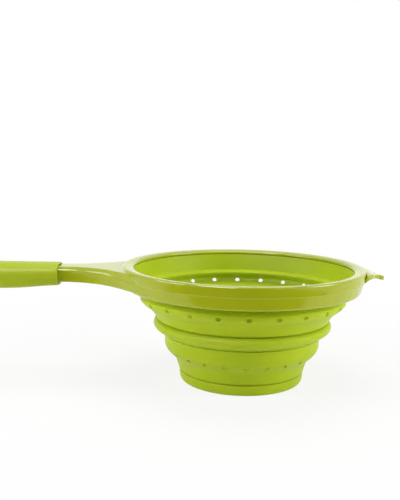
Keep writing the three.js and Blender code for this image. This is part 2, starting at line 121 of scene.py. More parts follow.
# The silicone bowl's outside from the ring down to the table: radius, level above the table and
# how far before and after the corner its rounding reaches.
BOWL_LINE = [
    # the collar's foot, and the upper fold's top set back behind the ring's lower edge
    (93.4, 79.75, 0), (93.2, 79.15, 0.25), (84.9, 78.8, 0.5), (84.2, 77.2, 0.6), (86.6, 75.1, 0.9),
    # the upper fold with its row of holes
    (88.2, 73.0, 1.0), (87.3, 69.6, 1.2), (84.9, 67.0, 1.3),
    # the upper band
    (80.7, 64.2, 2.4), (77.2, 60.5, 2.4), (74.7, 56.8, 1.8), (73.9, 55.3, 0.6), (73.7, 54.4, 0.25),
    # a deep crease, and the middle fold's bulge
    (71.0, 54.15, 0.1), (71.0, 53.3, 0.2), (73.4, 52.8, 0.6), (75.2, 51.6, 1.1), (76.0, 49.6, 1.3),
    (75.7, 47.6, 1.3), (74.2, 45.6, 1.4), (71.3, 43.6, 1.5), (68.4, 42.1, 1.2), (66.6, 41.5, 0.3),
    # a shallow crease, and the lower band
    (66.1, 41.2, 0.1), (66.2, 40.8, 0.1), (66.9, 40.6, 0.25), (67.1, 40.1, 0.4), (66.5, 38.6, 1.0),
    (66.1, 35.6, 1.6), (66.1, 32.0, 1.6), (65.5, 29.4, 1.4),
    # the lower fold with its row of holes
    (63.9, 26.8, 1.4), (61.4, 24.2, 1.6), (58.4, 21.6, 1.6), (56.5, 19.2, 1.3),
    # the base cup down to its crease
    (55.7, 16.5, 1.5), (54.6, 13.0, 1.6), (54.0, 11.0, 0.5), (53.9, 10.25, 0.25),
    # the crease, the foot and its rounded edge; the flat underside follows
    (51.4, 10.0, 0.1), (51.4, 9.0, 0.2), (52.9, 8.5, 0.4), (53.1, 5.0, 1.3), (52.7, 2.2, 1.2),
    (51.4, 0.25, 0.8), (50.0, 0, 0.6),
]
# Thickness of the bowl's wall by level: thin in the folds, thick in the bands.
BOWL_WALL = [
    (80, 1.9), (76.5, 1.5), (74, 1.2), (69, 1.2), (67.6, 1.6), (66, 2.2), (55.5, 2.2), (54, 2.4),
    (52, 1.2), (43, 1.2), (41.2, 2.4), (39.5, 2.2), (30.5, 2.2), (28.8, 1.7), (27.5, 1.2),
    (20.5, 1.2), (18.6, 1.7), (16.5, 2.2), (0, 2.2),
]
# The collar's inside and the bead on top of it, as the bowl's outside: radius, level, rounding.
BEAD_LINE = [
    (91.3, 80.0, 1.0), (93.25, 94.6, 0.7), (98.5, 94.6, 0.4), (98.3, 91.4, 0.3),
    (95.2, 91.4, 0.3), (93.4, 79.9, 0.2),
]
# Where the collar's outside takes over from the bead's line.
COLLAR_LEVEL = 79.6 * MM
# The rows of drain holes: level of the middle, and how far the holes' sectors reach up and down
# along the wall.
DRAIN_ROWS = {"upper_fold": (70.1, 4, 2.8), "lower_fold": (25.7, 3.3, 4.5)}
# The holes in the floor: rings round a plain disc, with this many holes in the first ring and as
# many more in each further one.
FLOOR_RINGS = 4
FIRST_RING_HOLES = 6
# Inside the base: the level down to which the wall's own line is kept, and the radius and rounding
# of its corner with the floor.
CUP_WALL_FOOT = 7 * MM
CUP_CORNER_RADIUS, CUP_CORNER_ROUNDING = 50.3, 2.0
# The ring's section: distance in from its outer radius, depth below its top, rounding.
RING_LINE = [
    (9.3, 3.6, 0.5), (9.3, 1.75, 0.7), (7.9, 0.8, 1.3), (4.2, 0.04, 1.8), (0, 0, 1.9),
    (0.45, 8.2, 0.12), (0.9, 8.75, 0.12), (3.3, 17.5, 1.2), (4.3, 18.6, 0.7), (5.5, 18.6, 0.4),
    (5.7, 18.2, 0.3), (3.3, 3.6, 0.8),
]
# The clamp ring's section: radius, depth below the ring's top, rounding.
CLAMP_LINE = [
    (95.3, 7.4, 0.3), (98.3, 7.4, 0.4), (96.5, 18.6, 0.4), (93.6, 18.6, 0.3),
]
# The middle of the ring's skirt: how far it lies inside the outer radius at the top, and how much
# further at the bottom. The neck and the tab end there.
SKIRT_MIDDLE, SKIRT_LEAN = 1.2 * MM, 3.5 * MM
# Half of the neck's section at the grip and at the ring, from its flat top over the bevelled edge
# and into the pocket underneath: inset from the outline, depth below the neck's top, rounding.
NECK_EDGE = [
    (3.4, 0, 0), (2.3, 0, 0.7), (0, 2.7, 1.2), (0, 12.8, 0.7), (2.2, 12.8, 0.4), (2.5, 2.2, 1.2),
    (4.4, 2.2, 0),
]
NECK_ROOT_EDGE = [
    (3.9, 0.4, 0), (2.8, 0.6, 0.7), (0.9, 5.6, 1.2), (3.1, 13.3, 0.7), (5.3, 13.3, 0.4),
    (5.6, 3, 1.2), (7.5, 3, 0),
]
# Between these distances from the bowl's axis the first section turns into the second: its depths
# first, then its insets.
DEPTH_BLEND = (122, 88)
INSET_BLEND = (96, 79)
# The neck's straight stretch, into the grip and out of it, and the pull of its flaring curve.
NECK_INTO_GRIP, NECK_STRAIGHT = 7.5 * MM, 6.5 * MM
NECK_NEAR_SHARES, NECK_FAR_SHARES = (0.565, 0.045), (0.827, 0.735)
# Ribs under the neck: the long one's two ends, then each cross rib's distance from the bowl's axis
# and half length; and how far below the neck's top they start and end.
LONG_RIB = (99, 161)
CROSS_RIBS = ((111.5, 23.8), (128.5, 13.6), (145.5, 8.9))
RIB_CEILING, RIB_FOOT = 1.9 * MM, 12.4 * MM
# The rest tab's top from the side: distance from the bowl's axis, depth below the ring's top.
TAB_LINE = [
    (96, 6.6), (98.3, 5.5), (99.5, 4.6), (101, 3.5), (103, 2.9), (105.5, 2.8), (108.3, 3.4),
    (112, 4.75), (114, 5.5), (117, 6.3), (120.5, 7.15),
]
# Half of the tab's section: inset from the outline, depth below its top, rounding.
TAB_EDGE = [(1.65, 0, 0), (0, 0, 0.8), (0, 3.7, 1.2), (1.65, 3.7, 0)]
# The tab's round nose and the pull of the curves of its nose and its hollow flank.
TAB_NOSE_LENGTH = 4.5 * MM
NOSE_NEAR_SHARES, NOSE_FAR_SHARES = (0, 0.55), (0.3, 0.95)
FLANK_NEAR_SHARES, FLANK_FAR_SHARES = (0.31, 0.1), (0.45, 0.98)
# The tang in the grip and the bore round it: middle level, half width and half height. The tang
# starts a little inside the grip's mouth, and the bore ends a little past the tang.
TANG_LEVEL = 89.15 * MM
TANG_HALF_WIDTH, TANG_HALF_HEIGHT = 11.2 * MM, 7.1 * MM
BORE_HALF_WIDTH, BORE_HALF_HEIGHT = 11.585 * MM, 7.5 * MM
TANG_START, BORE_PAST_TANG = 3 * MM, 0.3 * MM
# The bore's flared mouth: distance inside the mouth, and growth of both half sizes.
BORE_FLARE = ((0.4, 0), (0.1, 0.1), (0, 0.4))
# The powers of the grip's and the bore's rounded sections, and of the grip's domed end.
GRIP_POWER, BORE_POWER, DOME_POWER = 3, 4, 3
# Width and height over which the points of those sections are evenly spaced.
SECTION_SPACING = (14.5, 10.8)
# The grip along its length: share of the length, half width and half height.
GRIP_LINE = [
    (0, 13.5, 9.4), (0.1, 13.7, 9.75), (0.33, 14.5, 10.8), (0.72, 14.9, 10.7), (0.88, 14.8, 10.3),
    (1, 14.5, 10.15),
]
# Where the grip's dome starts, where the hanging hole's middle lies, and the ends of the window
# round the hole.
DOME_START, HOLE_REACH = GRIP_END - 11 * MM, GRIP_END - 8 * MM
WINDOW = (HOLE_REACH - 6.5 * MM, HOLE_REACH + 5.6 * MM)
# Rows of points round the edge of the grip's mouth, up to the window, across it and over the dome,
# along the bore and the tang, and half of the window's columns.
LIP_ROWS, SHAFT_ROWS, WINDOW_ROWS, DOME_ROWS = 5, 40, 13, 16
BORE_ROWS, TANG_ROWS, WINDOW_COLUMNS = 20, 24, 11

# The photo's camera, from the places of the ring, the creases and the base in it.
CAMERA_PLACE = (-0.0371, -0.5985, 0.192)
CAMERA_LENS = 51.06
CAMERA_TILT, CAMERA_ROLL = math.radians(7.725), math.radians(0.94)
# The softboxes: name, place, size, power and whether they light matt surfaces. All face the bowl.
SOFTBOXES = (
    ("top_softbox", (0, 0.15, 1.2), (0.9, 0.9), 8.0, True),
    ("left_softbox", (-1.27, -0.4, 0.55), (0.7, 0.7), 10.5, True),
    ("right_softbox", (1.27, -0.4, 0.55), (0.7, 0.7), 12.8, True),
    ("back_softbox", (0, 1.8, 0.35), (2.4, 0.6), 1.3, True),
    ("edge_softbox", (-0.42, -0.79, 0.77), (0.6, 0.45), 14.0, False),
)
SOFTBOX_AIM = Vector((0, 0, 0.06))


class RingSizes(bpy.types.PropertyGroup):
    """Sizes of the hard ring."""

    neck_drop: FloatProperty(
        name="Neck drop", description="How far the neck's top lies below the ring's top",
        default=2.5 * MM, unit="LENGTH",
    )
    cove: FloatProperty(
        name="Cove", description="Radius of the hollow where the neck's top meets the ring",
        default=1.5 * MM, unit="LENGTH",
    )
    neck_half: FloatProperty(
        name="Neck half width", description="Half of the neck's width next to the grip",
        default=10.5 * MM, unit="LENGTH",
    )
    neck_root: FloatProperty(
        name="Neck root half width", description="Half of the neck's width where it meets the ring",
        default=66 * MM, unit="LENGTH",
    )
    rib: FloatProperty(
        name="Rib thickness", description="Thickness of the ribs under the neck",
        default=1.4 * MM, unit="LENGTH",
    )
    tab_root: FloatProperty(
        name="Tab root half width", description="Half of the rest tab's width at the ring",
        default=29 * MM, unit="LENGTH",
    )
    tab_nose: FloatProperty(
        name="Tab nose half width", description="Half of the width of the rest tab's round nose",
        default=4.5 * MM, unit="LENGTH",
    )
    tab_groove: FloatProperty(
        name="Tab groove", description="Radius of the groove where the tab's top meets the ring",
        default=1.6 * MM, unit="LENGTH",
    )


class BowlSizes(bpy.types.PropertyGroup):
    """Sizes of the silicone bowl."""

    hole: FloatProperty(
        name="Drain hole", description="Radius of a drain hole", default=2.1 * MM, unit="LENGTH",
    )
    hole_edge: FloatProperty(
        name="Hole edge", description="Rounding of a drain hole's edge",
        default=0.3 * MM, unit="LENGTH",
    )
    holes_round: IntProperty(
        name="Holes in a row", description="Drain holes in one row round the wall", default=24,
    )
    floor: FloatProperty(
        name="Floor", description="Thickness of the base's floor", default=2.6 * MM, unit="LENGTH",
    )
    hole_pitch: FloatProperty(
        name="Floor hole pitch", description="Distance between the rings of holes in the floor",
        default=10.2 * MM, unit="LENGTH",
    )


class GripSizes(bpy.types.PropertyGroup):
    """Sizes of the grip sleeve."""

    mouth_edge: FloatProperty(
        name="Mouth edge", description="Rounding of the sleeve's mouth",
        default=0.7 * MM, unit="LENGTH",
    )
    hang_hole: FloatProperty(
        name="Hanging hole", description="Radius of the hanging hole",
        default=4.2 * MM, unit="LENGTH",
    )
    hang_edge: FloatProperty(
        name="Hanging hole edge", description="Rounding of the hanging hole's edge",
        default=0.9 * MM, unit="LENGTH",
    )


def linear(code):
    """Linear red, green and blue of an sRGB hex value, by the sRGB curve."""
    shares = [((code >> shift) & 255) / 255 for shift in (16, 8, 0)]
    return [c / 12.92 if c <= 0.04045 else ((c + 0.055) / 1.055) ** 2.4 for c in shares]


def colour(name, description, code):
    """A colour setting whose default is an sRGB hex value."""
    return FloatVectorProperty(
        name=name, description=description, subtype="COLOR", size=3, min=0, max=1,
        default=linear(code),
    )


class Finishes(bpy.types.PropertyGroup):
    """Colours of the pieces and the studio."""

    ring: colour("Ring", "The hard ring, neck and tab", 0xB2BC12)
    ring_shade: colour("Ring shade", "Slightly deeper flow marks in the ring", 0xA8B212)
    bowl: colour("Bowl", "The silicone bowl", 0xBBCF12)
    bowl_shade: colour("Bowl shade", "Slightly deeper patches in the silicone", 0xB1C511)
    grip: colour("Grip", "The grip sleeve", 0xB4C50A)
    grip_shade: colour("Grip shade", "Slightly deeper patches in the grip", 0xABBD0A)
    floor: colour("Floor", "The studio floor", 0xFAFAFA)


class Studio(bpy.types.PropertyGroup):
    """Strength of the studio's light."""

    ambient: FloatProperty(
        name="Ambient", description="Strength of the even light from all round", default=0.1,
    )
    lamps: FloatProperty(
        name="Lamps", description="Strength of the softboxes against their usual power", default=1,
    )


def rounded(corners, steps=5, closed=False):
    """A line through corners given as (across, up, rounding).

    Each corner becomes a parabola that leaves its two sides at the rounding's distance from the
    corner, or at half of the side where that is nearer.
    """
    tiny, same_point = 1e-12, 1e-6
    table = np.asarray(corners, float)
    points, rounding = table[:, :2], table[:, 2]
    back = np.roll(points, 1, axis=0) - points
    ahead = np.roll(points, -1, axis=0) - points
    if not closed:
        back[0] = 0
        ahead[-1] = 0

    def leave(side):
        length = np.maximum(np.linalg.norm(side, axis=1), tiny)
        return points + side * np.minimum(rounding / length, 0.5)[:, None]

    start, end = leave(back)[:, None], leave(ahead)[:, None]
    t = np.linspace(0, 1, steps + 1)[None, :, None]
    line = ((1 - t) ** 2 * start + 2 * t * (1 - t) * points[:, None] + t**2 * end).reshape(-1, 2)
    moved = np.linalg.norm(np.diff(line, axis=0), axis=1) > same_point
    return line[np.r_[True, moved]]


def distances(line):
    """Distance of each point of a line from its start, along the line."""
    return np.r_[0, np.cumsum(np.linalg.norm(np.diff(line, axis=0), axis=1))]


def along(line, marks, at):
    """Points of a line at given marks, where the marks of its own points are known."""
    return np.stack([np.interp(at, marks, line[:, k]) for k in range(line.shape[1])], axis=1)


def stretch(line, marks, start, end):
    """The part of a line between two marks, both ends included."""
    margin = 1e-7
    inside = marks[(marks > start + margin) & (marks < end - margin)]
    return along(line, marks, np.r_[start, inside, end])


def smooth_through(table, at):
    """Values at given places on a smooth curve through a table whose first column is the place.

    Between two rows it is a cubic whose slopes at the rows are the slopes across their neighbours.
    """
    rows = np.asarray(table, float)
    place, values = rows[:, 0], rows[:, 1:]
    slope = np.gradient(values, place, axis=0)
    i = np.clip(np.searchsorted(place, at) - 1, 0, len(place) - 2)
    span = (place[i + 1] - place[i])[:, None]
    t = (np.asarray(at)[:, None] - place[i][:, None]) / span
    return (
        (1 + 2 * t) * (1 - t) ** 2 * values[i] + t * (1 - t) ** 2 * span * slope[i]
        + t**2 * (3 - 2 * t) * values[i + 1] + t**2 * (t - 1) * span * slope[i + 1]
    )


def passed(reach, span):
    """Share of the way from the first to the second, nearer distance of a span in millimetres."""
    start, end = span
    return np.clip((start * MM - reach) / ((start - end) * MM), 0, 1)


def eased(line, spacing, width):
    """An evenly spaced line with each point moved to the bell-weighted mean of its neighbours."""
    reach = int(3 * width / spacing)
    weight = np.exp(-0.5 * (np.arange(-reach, reach + 1) * spacing / width) ** 2)
    before = 2 * line[0] - line[reach:0:-1]
    after = 2 * line[-1] - line[-2 : -reach - 2 : -1]
    padded = np.vstack([before, line, after])
    columns = [np.convolve(padded[:, k], weight / weight.sum(), mode="valid") for k in (0, 1)]
    return np.stack(columns, axis=1)


def turned(line, steps=TURN_STEPS):
    """Points of a (radius, level) line turned about the Z axis: one row for each angle."""
    angle = np.arange(steps) * 2 * np.pi / steps
    return np.stack([
        np.cos(angle)[:, None] * line[None, :, 0],
        np.sin(angle)[:, None] * line[None, :, 0],
        np.broadcast_to(line[None, :, 1], (steps, len(line))),
    ], axis=-1)


def spun_copies(points, count):
    """The same grid of points repeated at even angles about the Z axis, one copy after another."""
    angle = np.arange(count) * 2 * np.pi / count
    c, s = np.cos(angle)[:, None, None], np.sin(angle)[:, None, None]
    x, y, z = points[None, ..., 0], points[None, ..., 1], points[None, ..., 2]
    level = np.broadcast_to(z, (count, *z.shape[1:]))
    return np.stack([x * c - y * s, x * s + y * c, level], axis=-1)


def quads(rows, columns, wrap_rows=False, wrap_columns=False):
    """Corner numbers of the quads of a grid. A wrapped side joins its last line to its first."""
    r = np.arange(rows if wrap_rows else rows - 1)[:, None]
    c = np.arange(columns if wrap_columns else columns - 1)[None, :]
    r2, c2 = (r + 1) % rows, (c + 1) % columns
    corners = [r * columns + c, r * columns + c2, r2 * columns + c2, r2 * columns + c]
    return np.stack([np.broadcast_to(k, (r.shape[0], c.shape[1])) for k in corners], axis=-1)


def sheet(points, wrap_rows=False, wrap_columns=False, without=()):
    """A grid of points with its quads, less those in the (rows, columns) slices to leave out."""
    faces = quads(*points.shape[:2], wrap_rows, wrap_columns)
    keep = np.ones(faces.shape[:2], bool)
    for window in without:
        keep[window] = False
    return points.reshape(-1, 3), faces[keep]


def new_piece(name, sheets, material):
    """One closed mesh from sheets of points and quads.

    Points that coincide are merged, open ends are filled, and faces are turned outwards.
    """
    offsets = np.cumsum([0] + [len(points) for points, _ in sheets])
    points = np.vstack([points for points, _ in sheets])
    faces = np.vstack([faces + start for (_, faces), start in zip(sheets, offsets)])
    mesh = bpy.data.meshes.new(name)
    mesh.vertices.add(len(points))
    mesh.vertices.foreach_set("co", points.astype(np.float32).ravel())
    mesh.loops.add(faces.size)
    mesh.loops.foreach_set("vertex_index", faces.astype(np.int32).ravel())
    mesh.polygons.add(len(faces))
    mesh.polygons.foreach_set("loop_start", np.arange(0, faces.size, 4, dtype=np.int32))
    mesh.update(calc_edges=True)
    shell = bmesh.new()
    shell.from_mesh(mesh)
    bmesh.ops.remove_doubles(shell, verts=shell.verts, dist=MERGE)
    bmesh.ops.holes_fill(shell, edges=[e for e in shell.edges if e.is_boundary], sides=0)
    bmesh.ops.recalc_face_normals(shell, faces=shell.faces)
    shell.to_mesh(mesh)
    shell.free()
    mesh.polygons.foreach_set("use_smooth", np.ones(len(mesh.polygons), bool))
    mesh.set_sharp_from_angle(angle=SHARP)
    mesh.materials.append(material)
    piece = bpy.data.objects.new(name, mesh)
    bpy.context.scene.collection.objects.link(piece)
    return piece


def drilled(edge_points, centre, radius, rounding, rings=5, bends=4):
    """Half of a hole in a flat chart, from a patch's edge to the hole's wall.

    Straight spokes run from the patch's edge points to the circle, which then turns down over a
    quarter-round edge. Returns the chart points, one row for each ring, and each row's depth.
    """
    crowding = 0.8  # a power below 1, which brings the rings closer together next to the hole
    out = edge_points - centre
    direction = out / np.linalg.norm(out, axis=1, keepdims=True)
    share = np.linspace(0, 1, rings + 1)[:, None, None] ** crowding
    spokes = edge_points + (centre + direction * (radius + rounding) - edge_points) * share
    turn = np.linspace(0, np.pi / 2, bends + 1)[1:]
    circles = centre + direction * (radius + rounding * (1 - np.sin(turn)))[:, None, None]
    depth = np.r_[np.zeros(rings + 1), rounding * (1 - np.cos(turn))]
    return np.concatenate([spokes, circles]), depth


def window_edge(across, up):
    """Points round the edge of a rectangle, given its marks along two sides."""
    corners = [
        np.stack([across[:-1], np.full(len(across) - 1, up[0])], axis=1),
        np.stack([np.full(len(up) - 1, across[-1]), up[:-1]], axis=1),
        np.stack([across[:0:-1], np.full(len(across) - 1, up[-1])], axis=1),
        np.stack([np.full(len(up) - 1, across[0]), up[:0:-1]], axis=1),
    ]
    return np.vstack(corners)


def add_node(tree, kind, settings=None, **inputs):
    """Adds a node, sets its attributes, and sets or links its inputs, named with _ for a space."""
    node = tree.nodes.new(kind)
    for key, value in (settings or {}).items():
        setattr(node, key, value)
    for key, value in inputs.items():
        socket = node.inputs[int(key[1:]) if key[1:].isdigit() else key.replace("_", " ")]
        if isinstance(value, bpy.types.NodeSocket):
            tree.links.new(value, socket)
        else:
            socket.default_value = value
    return node


def blank_tree(owner):
    """The emptied node tree of a new material or world."""
    owner.use_nodes = True
    owner.node_tree.nodes.clear()
    return owner.node_tree


def moulded(name, main, shade, patch, grain, grain_depth, roughness, spread, shader):
    """A moulded skin: soft colour patches, uneven gloss and a fine grain, on object coordinates.

    The patches come from a wide noise, the gloss varies by a share of itself with a second one, and
    the grain is a fine noise read as height. Sizes are real sizes in metres.
    """
    material = bpy.data.materials.new(name)
    tree = blank_tree(material)
    place = add_node(tree, "ShaderNodeTexCoord").outputs["Object"]
    patches = add_node(tree, "ShaderNodeTexNoise", Vector=place, Scale=1 / patch, Detail=2.0)
    tint = add_node(
        tree, "ShaderNodeMix", {"data_type": "RGBA"}, _0=patches.outputs["Fac"],
        _6=(*main, 1), _7=(*shade, 1),
    )
    cloud = add_node(tree, "ShaderNodeTexNoise", Vector=place, Scale=4 / patch, Detail=4.0)
    gloss = add_node(
        tree, "ShaderNodeMapRange", Value=cloud.outputs["Fac"],
        To_Min=roughness * (1 - spread), To_Max=roughness * (1 + spread),
    )
    dust = add_node(tree, "ShaderNodeTexNoise", Vector=place, Scale=1 / grain, Detail=3.0)
    skin = add_node(
        tree, "ShaderNodeBump", Strength=1.0, Distance=grain_depth, Height=dust.outputs["Fac"],
    )
    surface = add_node(
        tree, "ShaderNodeBsdfPrincipled", Base_Color=tint.outputs[2],
        Roughness=gloss.outputs["Result"], Normal=skin.outputs["Normal"],
    )
    for key, value in shader.items():
        surface.inputs[key].default_value = value
    add_node(tree, "ShaderNodeOutputMaterial", Surface=surface.outputs["BSDF"])
    return material


def ring_plastic(scene):
    """Injection-moulded polypropylene from a polished mould.

    Its edges show near-mirror highlights, bent a little by a shallow ripple 2.5 mm long, and faint
    flow marks lie a few centimetres apart.
    """
    made = bpy.data.materials.get("polished_moulded_polypropylene")
    tones = scene.colander_finishes
    return made or moulded(
        "polished_moulded_polypropylene", tones.ring, tones.ring_shade, patch=40 * MM,
        grain=2.5 * MM, grain_depth=0.004 * MM, roughness=0.13, spread=0.25,
        shader={"IOR": 1.49, "Specular IOR Level": 0.5},
    )


def bowl_silicone(scene):
    """Compression-moulded silicone rubber: a satin skin that lets a little light into the wall.

    The mould's blasted grain is about 0.1 mm and too fine to show, so it is drawn at 0.6 mm.
    """
    made = bpy.data.materials.get("satin_moulded_silicone")
    tones = scene.colander_finishes
    return made or moulded(
        "satin_moulded_silicone", tones.bowl, tones.bowl_shade, patch=30 * MM,
        grain=0.6 * MM, grain_depth=0.006 * MM, roughness=0.5, spread=0.15,
        shader={
            "IOR": 1.41, "Specular IOR Level": 0.3, "Subsurface Weight": 0.12,
            "Subsurface Scale": 2 * MM, "Sheen Weight": 0.05,
        },
    )


def grip_rubber(scene):
    """Moulded thermoplastic rubber: an even, soft sheen over a fine eroded grain.

    The grain is about 0.1 mm and too fine to show, so it is drawn at 0.5 mm.
    """
    made = bpy.data.materials.get("satin_moulded_thermoplastic_rubber")
    tones = scene.colander_finishes
    return made or moulded(
        "satin_moulded_thermoplastic_rubber", tones.grip, tones.grip_shade, patch=35 * MM,
        grain=0.5 * MM, grain_depth=0.006 * MM, roughness=0.45, spread=0.15,
        shader={"IOR": 1.47, "Specular IOR Level": 0.3},
    )


def seen_rays(tree):
    """Output that is 1 for the rays that see the white background: camera, glossy, transmission."""
    path = add_node(tree, "ShaderNodeLightPath").outputs
    seen = path["Is Camera Ray"]
    for ray in ("Is Glossy Ray", "Is Transmission Ray"):
        seen = add_node(tree, "ShaderNodeMath", {"operation": "ADD", "use_clamp": True},
                        _0=seen, _1=path[ray]).outputs[0]
    return seen


def studio_paper(scene):
    """White seamless paper: matt, with the shadow of what stands on it, and white further off.

    The seen colour is lit paper near the object, blended with plain white, which takes over with
    distance, as where a paper sweep runs up into the background.
    """
    material = bpy.data.materials.new("matt_seamless_paper")
    tree = blank_tree(material)
    place = add_node(tree, "ShaderNodeTexCoord").outputs["Object"]
    far = add_node(tree, "ShaderNodeVectorMath", {"operation": "LENGTH"}, _0=place)
    white = add_node(
        tree, "ShaderNodeMapRange", {"interpolation_type": "SMOOTHSTEP"}, Value=far.outputs[1],
        From_Min=0.1, From_Max=0.5, To_Min=0.85, To_Max=1.0,
    )
    share = add_node(tree, "ShaderNodeMath", {"operation": "MULTIPLY"},
                     _0=white.outputs[0], _1=seen_rays(tree))
    paper = add_node(tree, "ShaderNodeBsdfDiffuse", Color=(*scene.colander_finishes.floor, 1))
    glow = add_node(tree, "ShaderNodeEmission", Color=(1, 1, 1, 1), Strength=1.0)
    mixed = add_node(tree, "ShaderNodeMixShader", _0=share.outputs[0],
                     _1=paper.outputs[0], _2=glow.outputs[0])
    add_node(tree, "ShaderNodeOutputMaterial", Surface=mixed.outputs[0])
    return material


def black_felt():
    """Black felt on a studio flag, which only reflections see: it darkens what gloss shows."""
    material = bpy.data.materials.new("black_flag_felt")
    tree = blank_tree(material)
    felt = add_node(tree, "ShaderNodeBsdfDiffuse", Color=(0.01, 0.01, 0.01, 1))
    add_node(tree, "ShaderNodeOutputMaterial", Surface=felt.outputs[0])
    return material


def studio_sheet(name, corner, first_side, second_side, material):
    """A flat rectangle of the studio, from one corner along two sides."""
    corner, first_side, second_side = map(Vector, (corner, first_side, second_side))
    far = corner + first_side + second_side
    corners = [corner, corner + first_side, far, corner + second_side]
    mesh = bpy.data.meshes.new(name)
    mesh.from_pydata(corners, [], [(0, 1, 2, 3)])
    mesh.materials.append(material)
    made = bpy.data.objects.new(name, mesh)
    bpy.context.scene.collection.objects.link(made)
    return made


def ring_wall_middle(level):
    """Radius of the middle of the ring's skirt at a level, straight between its two ends."""
    share = np.clip((RIM_TOP - level) / (RIM_TOP - RIM_BOTTOM), 0, 1)
    return RING_RADIUS - SKIRT_MIDDLE - SKIRT_LEAN * share


def slab(side, edge, across, heading, top, cove):
    """A closed skin that follows half an outline in plan, mirrored across the X-Z plane.

    side is the outline as (reach, half width); edge is the half section at each place on it, as
    inset and depth. A point is the outline moved inwards by the inset, and the flat parts between
    the two sides are arcs about the bowl's axis. Depth is measured down from top(reach, half). The
    top face meets the ring in a quarter-round, up for a cove and down for a groove, which fades
    over the first millimetre of depth. Nothing reaches further in than the middle of the ring's
    wall, where the skin is closed.
    """
    edge = np.broadcast_to(edge, (len(side), *edge.shape[-2:]))
    flow = np.gradient(side, axis=0)
    flow /= np.linalg.norm(flow, axis=1, keepdims=True)
    inward = np.stack([-flow[:, 1], flow[:, 0]], axis=1)
    flat = np.linspace(0, 1, across, endpoint=False)
    over, under = np.repeat(edge[:, :1], across, 1), np.repeat(edge[:, -1:], across, 1)
    section = np.concatenate([over, edge, under], axis=1)
    share = np.r_[flat, np.ones(edge.shape[1]), flat[::-1]]
    section = np.concatenate([section, section[:, ::-1]], axis=1)
    share = np.r_[share, -share[::-1]]
    inset, depth = section[..., 0], section[..., 1]
    place = side[:, None, :] + inward[:, None, :] * inset[..., None]
    half = np.maximum(place[..., 1], 0)
    radius = np.hypot(place[..., 0], half)
    turn = np.arctan2(half, place[..., 0]) * share
    level = top(radius * np.cos(turn), radius * np.abs(np.sin(turn))) - depth
    gap = np.clip((radius - RING_RADIUS) / abs(cove), 0, 1)
    on_top = np.clip(1 - (depth - edge[:, :1, 1]) / MM, 0, 1)
    level += cove * (1 - np.sqrt(1 - (1 - gap) ** 2)) * on_top
    radius = np.maximum(radius, ring_wall_middle(level))
    radius = np.vstack([radius, ring_wall_middle(level[-1:])])
    turn = np.vstack([turn, turn[-1:]])
    level = np.vstack([level, level[-1:]])
    points = np.stack([heading * radius * np.cos(turn), radius * np.sin(turn), level], axis=-1)
    halves = points[-1].reshape(2, -1, 3)
    closing_row = (halves + halves[:, ::-1]) / 2
    return sheet(np.vstack([points, closing_row.reshape(1, -1, 3)]), wrap_columns=True)


def bezier(start, near, far, end, steps):
    """Points of a cubic curve. near and far are shares of the span from start to end."""
    start, end = np.array(start), np.array(end)
    span = end - start
    handles = np.array([start, start + span * near, start + span * far, end])
    t = np.linspace(0, 1, steps)[:, None]
    return np.hstack([(1 - t) ** 3, 3 * t * (1 - t) ** 2, 3 * t**2 * (1 - t), t**3]) @ handles


def neck_side(half, root, straight_steps=8, curve_steps=80):
    """Half of the neck's outline from inside the grip to the ring, as (reach, half width).

    A straight stretch, and then one cubic curve that widens until it lies along the ring.
    """
    waist = GRIP_MOUTH - NECK_STRAIGHT
    end = math.sqrt(RING_RADIUS**2 - root**2)
    curve = bezier(
        (waist, half), NECK_NEAR_SHARES, NECK_FAR_SHARES, (end, root), curve_steps)
    straight = np.linspace(GRIP_MOUTH + NECK_INTO_GRIP, waist, straight_steps, endpoint=False)
    return np.vstack([np.column_stack([straight, np.full(straight_steps, half)]), curve])


def tab_side(nose, root, nose_steps=14, flank_steps=44):
    """Half of the tab's outline from its tip to the ring: a round nose and a hollow flank."""
    end = math.sqrt(RING_RADIUS**2 - root**2)
    start = TAB_END - TAB_NOSE_LENGTH
    front = bezier((TAB_END, 0), NOSE_NEAR_SHARES, NOSE_FAR_SHARES, (start, nose), nose_steps)
    flank = bezier((start, nose), FLANK_NEAR_SHARES, FLANK_FAR_SHARES, (end, root), flank_steps)
    return np.vstack([front[:-1], flank])


def bar(start, end, half_width, low_level, high_level):
    """A straight rib: a section with a rounded lower edge carried from one point to another."""
    edge = half_width * 0.7
    section = rounded([
        (-half_width, high_level, 0), (-half_width, low_level, edge),
        (half_width, low_level, edge), (half_width, high_level, 0),
    ], closed=True)
    start, end = np.asarray(start), np.asarray(end)
    side = np.array([start[1] - end[1], end[0] - start[0]]) / np.linalg.norm(end - start)
    ends = [
        np.column_stack([foot + section[:, :1] * side, section[:, 1]]) for foot in (start, end)
    ]
    return sheet(np.stack(ends), wrap_columns=True)


def unit_section(power, count=96):
    """Points of the curve |x|^power + |y|^power = 1 from +x anticlockwise.

    They are evenly spaced once the curve is stretched to the handle's width and height.
    """
    angle = np.linspace(0, 2 * np.pi, 4001)
    circle = np.column_stack([np.cos(angle), np.sin(angle)])
    line = np.sign(circle) * abs(circle) ** (2 / power)
    marks = distances(line * SECTION_SPACING)
    return along(line, marks, np.linspace(0, marks[-1], count, endpoint=False))


def handle_rows(reach, half_width, half_height, centre, section):
    """Sections across the handle: a unit section scaled and placed at each reach along -X."""
    return np.stack([
        np.broadcast_to(-reach[:, None], (len(reach), len(section))),
        half_width[:, None] * section[:, 0],
        centre[:, None] + half_height[:, None] * section[:, 1],
    ], axis=-1)


